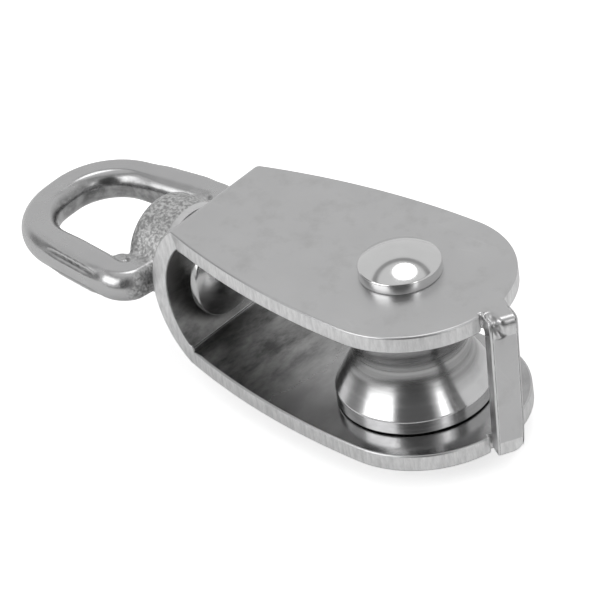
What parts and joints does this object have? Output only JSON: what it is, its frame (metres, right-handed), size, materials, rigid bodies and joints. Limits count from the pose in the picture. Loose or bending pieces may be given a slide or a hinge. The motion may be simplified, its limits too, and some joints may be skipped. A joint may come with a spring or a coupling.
{
  "type": "swivel eye sheave block",
  "caption": "Sheave block of bent sheet steel with a turned sheave on a riveted axle, a keeper strap across the tail and a cast swivel eye.",
  "frame": {"origin": "on the sheave's axle, half-way between the two cheeks", "axes": "+Z along the axle, +X from the swivel eye towards the round tail, +Y completes a right-handed set; the block lies on one cheek"},
  "size_m": [0.1, 0.0334, 0.0328],
  "materials": {
    "satin_sheet": "satin stainless sheet, bright worn edges",
    "polished_steel": "mirror polished stainless",
    "turned_steel": "turned and buffed stainless",
    "shim_steel": "rolled bright strip",
    "bronze": "plain bearing bronze",
    "cast_steel": "tumbled investment casting, grainy on the hub"
  },
  "bodies": {
    "frame": {"frame": "satin_sheet", "axle_rivet": "polished_steel", "axle_sleeve": "turned_steel", "shim_washers": "shim_steel"},
    "sheave": {"sheave": "turned_steel", "sheave_bush": "bronze"},
    "swivel": {"swivel_eye": "cast_steel", "swivel_pin": "polished_steel"}
  },
  "joints": [
    {"name": "sheave_spin", "type": "hinge", "parent": "frame", "child": "sheave", "pos_m": [0, 0, 0], "axis": [0, 0, 1], "continuous": true},
    {"name": "swivel_turn", "type": "hinge", "parent": "frame", "child": "swivel", "pos_m": [-0.0443, 0, 0], "axis": [1, 0, 0], "continuous": true}
  ]
}
